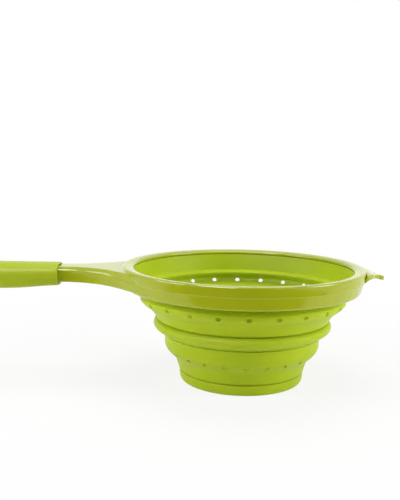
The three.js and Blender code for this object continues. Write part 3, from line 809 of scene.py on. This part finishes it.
class MESH_OT_colander_rim_frame(bpy.types.Operator):
    """Make the hard moulding: ring, ribbed neck, tang and rest tab"""

    bl_idname = "mesh.colander_rim_frame"
    bl_label = "Ring, Neck and Tab"

    def execute(self, context):
        sizes = context.scene.colander_ring
        ring = np.array(RING_LINE) * MM * [-1, -1, 1] + [RING_RADIUS, RIM_TOP, 0]
        neck_top = RIM_TOP - sizes.neck_drop

        def neck_level(reach, half):
            """The neck's top is level."""
            return np.full(reach.shape, neck_top)

        def tab_level(reach, half):
            """The tab's line from the side, the same all the way across."""
            return RIM_TOP - smooth_through(TAB_LINE, reach.ravel() / MM).reshape(reach.shape) * MM

        side = neck_side(sizes.neck_half, sizes.neck_root)
        deeper, further = passed(side[:, :1], DEPTH_BLEND), passed(side[:, :1], INSET_BLEND)
        share = np.hstack([further**2, deeper**2 * (3 - 2 * deeper)])[:, None]
        edge = (rounded(NECK_EDGE) * (1 - share) + rounded(NECK_ROOT_EDGE) * share) * MM
        neck = slab(side, edge, across=14, heading=-1, top=neck_level, cove=sizes.cove)
        side = tab_side(sizes.tab_nose, sizes.tab_root)
        edge = rounded(TAB_EDGE, steps=7) * MM
        tab = slab(side, edge, across=10, heading=1, top=tab_level, cove=-sizes.tab_groove)

        levels = neck_top - RIB_FOOT, neck_top - RIB_CEILING
        near, far = LONG_RIB
        ribs = [bar((-near * MM, 0), (-far * MM, 0), sizes.rib / 2, *levels)]
        for reach, half in CROSS_RIBS:
            ends = (-reach * MM, -half * MM), (-reach * MM, half * MM)
            ribs.append(bar(*ends, sizes.rib / 2, *levels))

        reach = np.linspace(GRIP_MOUTH + TANG_START, TANG_END, TANG_ROWS)
        full = np.r_[0, np.ones(len(reach)), 0]
        reach = np.r_[reach[0], reach, reach[-1]]
        tang = handle_rows(
            reach, TANG_HALF_WIDTH * full, TANG_HALF_HEIGHT * full,
            np.full(len(reach), TANG_LEVEL), unit_section(BORE_POWER))
        sheets = [
            sheet(turned(rounded(ring, closed=True)), wrap_rows=True, wrap_columns=True),
            neck, tab, *ribs, sheet(tang, wrap_columns=True),
        ]
        piece = new_piece("rim_frame_moulding", sheets, ring_plastic(context.scene))
        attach(piece, "rim")
        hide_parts("rim_frame")
        return {"FINISHED"}


class MESH_OT_colander_clamp_ring(bpy.types.Operator):
    """Make the ring inside the skirt that traps the bowl's bead"""

    bl_idname = "mesh.colander_clamp_ring"
    bl_label = "Clamp Ring"

    def execute(self, context):
        line = np.array(CLAMP_LINE) * MM * [1, -1, 1] + [0, RIM_TOP, 0]
        skin = sheet(turned(rounded(line, closed=True)), wrap_rows=True, wrap_columns=True)
        piece = new_piece("clamp_ring_moulding", [skin], ring_plastic(context.scene))
        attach(piece, "rim")
        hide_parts("clamp_ring")
        return {"FINISHED"}


class Wall:
    """The bowl's wall in section: its outside and inside with shared marks along the outside.

    The outside runs on under the base to the outermost ring of holes in its floor. The inside is
    the outside, first eased so that its grooves vanish, moved inwards along its normal by the
    wall's thickness at that level.
    """

    def __init__(self, floor_edge):
        self.outside = rounded([*BOWL_LINE, (floor_edge / MM, 0, 0)]) * MM
        self.marks = distances(self.outside)
        spacing, easing = 0.1 * MM, 1.0 * MM
        even = np.arange(0, self.marks[-1], spacing)
        calm = eased(along(self.outside, self.marks, even), spacing, easing)
        flow = np.gradient(calm, axis=0)
        flow /= np.linalg.norm(flow, axis=1, keepdims=True)
        level, wall = np.array(BOWL_WALL[::-1]).T * MM
        thick = np.interp(calm[:, 1], level, wall)[:, None]
        inside = calm + np.stack([flow[:, 1], -flow[:, 0]], axis=1) * thick
        self.inside = along(inside, even, self.marks)

    def mark(self, line, level):
        """Where a falling line passes a level."""
        return float(np.interp(-level, -line[:, 1], self.marks))

    def strip(self, top, bottom, start=None, end=None):
        """Section of the wall between two levels, inside first, then outside, from the top down.

        A start or end mark cuts both sides there instead of at the level.
        """
        sides = []
        for line in (self.inside, self.outside):
            first = self.mark(line, top) if start is None else start
            last = self.mark(line, bottom) if end is None else end
            sides.append(stretch(line, self.marks, first, last))
        return sides

    def at(self, marks, depth):
        """Points in the wall at given marks and depths below the outside."""
        outer = along(self.outside, self.marks, marks.ravel())
        inner = along(self.inside, self.marks, marks.ravel())
        thick = np.linalg.norm(inner - outer, axis=1)
        share = depth(thick.reshape(marks.shape)).ravel() / thick
        return (outer + (inner - outer) * share[:, None]).reshape(*marks.shape, 2)


def pierced_strip(wall, top, bottom, sizes, level, above, below, rows=9):
    """Sheets of a fold with a row of drain holes.

    Plain strips lie above and below the row. Between them each hole has its own sector, drilled in
    a chart of distance round the bowl and distance down the wall.
    """
    centre = wall.mark(wall.outside, level)
    start, end = centre - above, centre + below
    inner, outer = wall.strip(top, bottom, end=start)
    upper = sheet(turned(np.vstack([inner[::-1], outer])), wrap_rows=True)
    inner, outer = wall.strip(top, bottom, start=end)
    lower = sheet(turned(np.vstack([outer, inner[::-1]])), wrap_rows=True)
    radius = along(wall.outside, wall.marks, [centre])[0, 0]
    half = np.pi / sizes.holes_round
    steps = TURN_STEPS // sizes.holes_round
    across = np.linspace(-half, half, steps + 1) * radius
    edge = window_edge(across, np.linspace(start, end, rows))
    chart, depth = drilled(edge, np.array([0, centre]), sizes.hole, sizes.hole_edge)
    turn = chart[..., 0] / radius
    halves = []
    for measure in (lambda t: 0 * t + depth[:, None], lambda t: t - depth[:, None]):
        place = wall.at(chart[..., 1], measure)
        halves.append(np.stack([
            place[..., 0] * np.cos(turn), place[..., 0] * np.sin(turn), place[..., 1],
        ], axis=-1))
    skin = np.concatenate([halves[0], halves[1][::-1]])
    holes = [sheet(copy, wrap_columns=True) for copy in spun_copies(skin, sizes.holes_round)]
    return [upper, lower, *holes]


def pierced_floor(sizes, rows=7, disc_rows=4):
    """Sheets of the base's floor: rings of holes round a plain disc.

    Each ring of holes is a band cut into equal sectors, one for a hole, drilled in plan.
    """
    sheets = []
    for ring in range(1, FLOOR_RINGS + 1):
        count = FIRST_RING_HOLES * ring
        steps = TURN_STEPS // count
        near, far = sizes.hole_pitch * (ring - 0.5), sizes.hole_pitch * (ring + 0.5)
        turns = np.linspace(0, 2 * np.pi / count, steps + 1)
        turn, radius = window_edge(turns, np.linspace(near, far, rows)).T
        edge = np.column_stack([radius * np.cos(turn), radius * np.sin(turn)])
        middle = sizes.hole_pitch * ring * np.array([np.cos(np.pi / count), np.sin(np.pi / count)])
        chart, depth = drilled(edge, middle, sizes.hole, sizes.hole_edge, rings=3)
        level = np.broadcast_to(depth[:, None], chart.shape[:2])
        under = np.dstack([chart, level])
        over = np.dstack([chart, sizes.floor - level])
        skin = np.concatenate([under, over[::-1]])
        sheets += [sheet(copy, wrap_columns=True) for copy in spun_copies(skin, count)]
    line = np.linspace(0, sizes.hole_pitch / 2, disc_rows)
    for level in (0, sizes.floor):
        disc = turned(np.column_stack([line, np.full(disc_rows, level)]))
        sheets.append(sheet(disc, wrap_rows=True))
    return sheets


def bowl_sheets(sizes, levels):
    """Sheets of each piece of the bowl by its name, from the collar down to the base cup.

    levels are the seams between the pieces, from the top down.
    """
    floor_edge = sizes.hole_pitch * (FLOOR_RINGS + 0.5)
    wall = Wall(floor_edge)
    inner, outer = wall.strip(COLLAR_LEVEL, levels[0])
    collar = np.vstack([inner[-1:], rounded(BEAD_LINE) * MM, outer])
    made = {"bowl_collar": [sheet(turned(collar), wrap_rows=True, wrap_columns=True)]}
    for name, top, bottom in zip(BOWL_NODES[1:-1], levels, levels[1:]):
        if name in DRAIN_ROWS:
            row = (value * MM for value in DRAIN_ROWS[name])
            made[name] = pierced_strip(wall, top, bottom, sizes, *row)
        else:
            inner, outer = wall.strip(top, bottom)
            loop = np.vstack([outer, inner[::-1]])
            made[name] = [sheet(turned(loop), wrap_rows=True, wrap_columns=True)]

    inner, _ = wall.strip(levels[-1], CUP_WALL_FOOT)
    floor = sizes.floor / MM
    corners = [(CUP_CORNER_RADIUS, floor, CUP_CORNER_ROUNDING), (floor_edge / MM, floor, 0)]
    inside = np.column_stack([inner / MM, np.zeros(len(inner))])
    inside = rounded(np.vstack([inside, corners])) * MM
    start = wall.mark(wall.outside, levels[-1])
    outside = stretch(wall.outside, wall.marks, start, wall.marks[-1])
    cup = np.vstack([inside[::-1], outside])
    made["base_cup"] = [sheet(turned(cup), wrap_rows=True), *pierced_floor(sizes)]
    return made


class MESH_OT_colander_bowl(bpy.types.Operator):
    """Make the silicone bowl: collar, folds with drain rows, bands and drained base"""

    bl_idname = "mesh.colander_bowl"
    bl_label = "Silicone Bowl"

    def execute(self, context):
        levels = [seam(upper, lower) for upper, lower in zip(BOWL_NODES, BOWL_NODES[1:])]
        bodies = {"bowl_collar": "rim", "upper_band": "upper_tier", "lower_band": "lower_tier",
                  "base_cup": "base"}
        folds = {
            "upper_fold": ("rim", "upper_tier", levels[0], levels[1]),
            "middle_fold": ("upper_tier", "lower_tier", levels[2], levels[3]),
            "lower_fold": ("lower_tier", "base", levels[4], levels[5]),
        }
        material = bowl_silicone(context.scene)
        for name, sheets in bowl_sheets(context.scene.colander_bowl, levels).items():
            piece = new_piece(f"{name}_silicone", sheets, material)
            if name in folds:
                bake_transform(piece)
            else:
                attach(piece, bodies[name])
            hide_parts(name)
        return {"FINISHED"}


def grip_size(reach):
    """Half width, half height and middle level of the grip: the table's curve and a domed end."""
    width, height = smooth_through(GRIP_LINE, (reach - GRIP_MOUTH) / (GRIP_END - GRIP_MOUTH)).T * MM
    part = np.clip((reach - DOME_START) / (GRIP_END - DOME_START), 0, 1)
    close = np.maximum(1 - part**DOME_POWER, 0) ** (1 / DOME_POWER)
    return width * close, height * close, GRIP_TOP - height


def grip_bore(section):
    """Sections of the grip's bore, from its closed end to its flared mouth."""
    inside, growth = np.array(BORE_FLARE).T * MM
    bottom = TANG_END + BORE_PAST_TANG
    straight = np.linspace(bottom, GRIP_MOUTH + inside[0], BORE_ROWS)
    reach = np.r_[bottom, straight, GRIP_MOUTH + inside[1:]]
    grow = np.r_[np.zeros(len(straight)), growth]
    full = np.r_[0, np.ones(len(straight) + 2)]
    return handle_rows(
        reach, BORE_HALF_WIDTH * full + grow, BORE_HALF_HEIGHT * full + grow,
        np.full(len(reach), TANG_LEVEL), section)


def grip_lip(lip, section):
    """Sections over the rounded edge of the grip's mouth: a quarter circle."""
    bend = np.linspace(0, np.pi / 2, LIP_ROWS, endpoint=False)
    reach = GRIP_MOUTH + lip * (1 - np.cos(bend))
    inset = lip * (1 - np.sin(bend))
    width, height, middle = grip_size(reach)
    return handle_rows(reach, width - inset, height - inset, middle, section)


def grip_reach(lip):
    """Reaches of the grip's outer sections: even up to the dome, then by even turns over it."""
    dome = GRIP_END - DOME_START
    start = np.arcsin(((WINDOW[1] - DOME_START) / dome) ** (DOME_POWER / 2))
    turn = np.linspace(start, np.pi / 2, DOME_ROWS)[1:]
    return np.r_[
        np.linspace(GRIP_MOUTH + lip, WINDOW[0], SHAFT_ROWS),
        np.linspace(*WINDOW, WINDOW_ROWS)[1:],
        DOME_START + dome * np.sin(turn) ** (2 / DOME_POWER),
    ]


def hang_hole_half(sizes, marks, shares, up):
    """The skin round one end of the hanging hole, drilled in plan.

    The window is given by marks along the grip and shares of its half width. up is 1 for the top
    and -1 for the underside. The level follows the section's curve, less the depth of the edge.
    """
    edge = window_edge(marks, shares)
    plan = np.column_stack([edge[:, 0], edge[:, 1] * grip_size(edge[:, 0])[0]])
    centre = np.array([HOLE_REACH, 0.0])
    chart, depth = drilled(plan, centre, sizes.hang_hole, sizes.hang_edge)
    measures = grip_size(chart[..., 0].ravel())
    width, height, middle = (measure.reshape(chart.shape[:2]) for measure in measures)
    share = np.clip(np.abs(chart[..., 1] / width), 0, 1)
    rise = height * (1 - share**GRIP_POWER) ** (1 / GRIP_POWER) - depth[:, None]
    return np.dstack([-chart[..., 0], chart[..., 1], middle + up * rise])


def grip_sheets(sizes):
    """Sheets of the grip: bore, mouth and skin in one, the hole's two ends and the hole's wall."""
    outer = unit_section(GRIP_POWER)
    reach = grip_reach(sizes.mouth_edge)
    bore, lip = grip_bore(unit_section(BORE_POWER)), grip_lip(sizes.mouth_edge, outer)
    before = np.concatenate([bore, lip])
    body = handle_rows(reach, *grip_size(reach), outer)
    first = SHAFT_ROWS - 1
    rows = slice(len(before) + first, len(before) + first + WINDOW_ROWS - 1)
    windows, ends = [], []
    for quarter, up in ((1, 1), (3, -1)):
        centre = quarter * len(outer) // 4
        start, end = centre - WINDOW_COLUMNS, centre + WINDOW_COLUMNS
        windows.append((rows, slice(start, end)))
        marks = reach[first : first + WINDOW_ROWS]
        ends.append(hang_hole_half(sizes, marks, outer[start : end + 1, 0], up))
    rings = []
    for end in ends:
        ring = end[-1]
        rings.append(ring[np.argsort(np.arctan2(ring[:, 1], ring[:, 0] + HOLE_REACH))])
    return [
        sheet(np.concatenate([before, body]), wrap_columns=True, without=windows),
        *(sheet(end, wrap_columns=True) for end in ends),
        sheet(np.stack(rings), wrap_columns=True),
    ]


class MESH_OT_colander_grip(bpy.types.Operator):
    """Make the grip sleeve with its open mouth and hanging hole"""

    bl_idname = "mesh.colander_grip"
    bl_label = "Grip Sleeve"

    def execute(self, context):
        sheets = grip_sheets(context.scene.colander_grip)
        piece = new_piece("grip_sleeve_moulding", sheets, grip_rubber(context.scene))
        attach(piece, "rim")
        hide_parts("grip_sleeve")
        return {"FINISHED"}


def softbox(name, place, size, energy, lights_matt):
    """A rectangular lamp that faces the bowl and is seen in glossy surfaces."""
    data = bpy.data.lights.new(name, "AREA")
    data.shape = "RECTANGLE"
    data.size, data.size_y = size
    data.energy = energy
    lamp = bpy.data.objects.new(name, data)
    lamp.location = place
    lamp.visible_diffuse = lights_matt
    lamp.rotation_euler = (SOFTBOX_AIM - lamp.location).to_track_quat("-Z", "Y").to_euler()
    bpy.context.scene.collection.objects.link(lamp)


def white_surround(ambient):
    """A world that is plain white where it is seen and gives a faint, even light otherwise."""
    world = bpy.data.worlds.new("white_surround")
    tree = blank_tree(world)
    even = add_node(tree, "ShaderNodeBackground", Color=(1, 1, 1, 1), Strength=ambient)
    white = add_node(tree, "ShaderNodeBackground", Color=(1, 1, 1, 1), Strength=1.0)
    mixed = add_node(tree, "ShaderNodeMixShader", _0=seen_rays(tree),
                     _1=even.outputs[0], _2=white.outputs[0])
    add_node(tree, "ShaderNodeOutputWorld", Surface=mixed.outputs[0])
    return world


def photo_camera():
    """The photo's camera: it looks along +Y, tilted down and then rolled about its own axis."""
    right = Vector((1, 0, 0))
    up = Vector((0, math.sin(CAMERA_TILT), math.cos(CAMERA_TILT)))
    back = right.cross(up)
    right, up = (right * math.cos(CAMERA_ROLL) + up * math.sin(CAMERA_ROLL),
                 up * math.cos(CAMERA_ROLL) - right * math.sin(CAMERA_ROLL))
    data = bpy.data.cameras.new("photo_camera")
    data.lens = CAMERA_LENS
    camera = bpy.data.objects.new("photo_camera", data)
    turned_to = Matrix((right, up, back)).transposed().to_4x4()
    camera.matrix_world = Matrix.Translation(CAMERA_PLACE) @ turned_to
    bpy.context.scene.collection.objects.link(camera)
    return camera


class SCENE_OT_colander_stage(bpy.types.Operator):
    """Make the pale floor, the softboxes, the even light from all round and the camera"""

    bl_idname = "scene.colander_stage"
    bl_label = "Studio and Camera"

    def execute(self, context):
        scene = context.scene
        studio = scene.colander_studio
        level = CAD_BOX[0].z - 0.02 * MM
        paper, felt = studio_paper(scene), black_felt()
        floor = studio_sheet("studio_floor", (-3, -3, level), (6, 0, 0), (0, 6, 0), paper)
        flag = studio_sheet(
            "front_flag", (-0.5, -1.1, level + MM), (0.9, 0, 0), (0, 0.96, 0), felt)
        wall = studio_sheet("front_wall", (-0.6, -1.1, 0), (1.1, 0, 0), (0, 0, 1), felt)
        for card in (flag, wall):
            card.visible_camera = card.visible_shadow = False
        flag.visible_diffuse = False
        for name, place, size, power, lights_matt in SOFTBOXES:
            softbox(name, place, size, power * studio.lamps, lights_matt)
        scene.world = white_surround(studio.ambient)
        scene.camera = photo_camera()
        scene.view_settings.view_transform = "Standard"
        return {"FINISHED"}


class VIEW3D_PT_colander(bpy.types.Panel):
    """Lists the colander's pieces and sizes in the sidebar"""

    bl_label = "Collapsible Colander"
    bl_idname = "VIEW3D_PT_colander"
    bl_space_type = "VIEW_3D"
    bl_region_type = "UI"
    bl_category = "Colander"

    def draw(self, context):
        for group in GROUPS:
            box = self.layout.box()
            settings = getattr(context.scene, group)
            for name in settings.bl_rna.properties.keys():
                if name not in ("rna_type", "name"):
                    box.prop(settings, name)
        for operator in OPERATORS:
            self.layout.operator(operator.bl_idname)


GROUPS = {
    "colander_ring": RingSizes,
    "colander_bowl": BowlSizes,
    "colander_grip": GripSizes,
    "colander_finishes": Finishes,
    "colander_studio": Studio,
}
OPERATORS = (
    MESH_OT_colander_rim_frame,
    MESH_OT_colander_clamp_ring,
    MESH_OT_colander_bowl,
    MESH_OT_colander_grip,
    SCENE_OT_colander_stage,
)


def register():
    """Registers the settings, the operators and the panel."""
    for name, group in GROUPS.items():
        bpy.utils.register_class(group)
        setattr(bpy.types.Scene, name, PointerProperty(type=group))
    for operator in OPERATORS:
        bpy.utils.register_class(operator)
    bpy.utils.register_class(VIEW3D_PT_colander)


def unregister():
    """Takes away what register added, in the opposite order."""
    bpy.utils.unregister_class(VIEW3D_PT_colander)
    for operator in reversed(OPERATORS):
        bpy.utils.unregister_class(operator)
    for name, group in reversed(GROUPS.items()):
        delattr(bpy.types.Scene, name)
        bpy.utils.unregister_class(group)


def main():
    """Registers the add-on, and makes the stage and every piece."""
    register()
    bpy.ops.scene.colander_stage()
    bpy.ops.mesh.colander_rim_frame()
    bpy.ops.mesh.colander_clamp_ring()
    bpy.ops.mesh.colander_bowl()
    bpy.ops.mesh.colander_grip()
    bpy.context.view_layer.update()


if __name__ == "__main__":
    main()
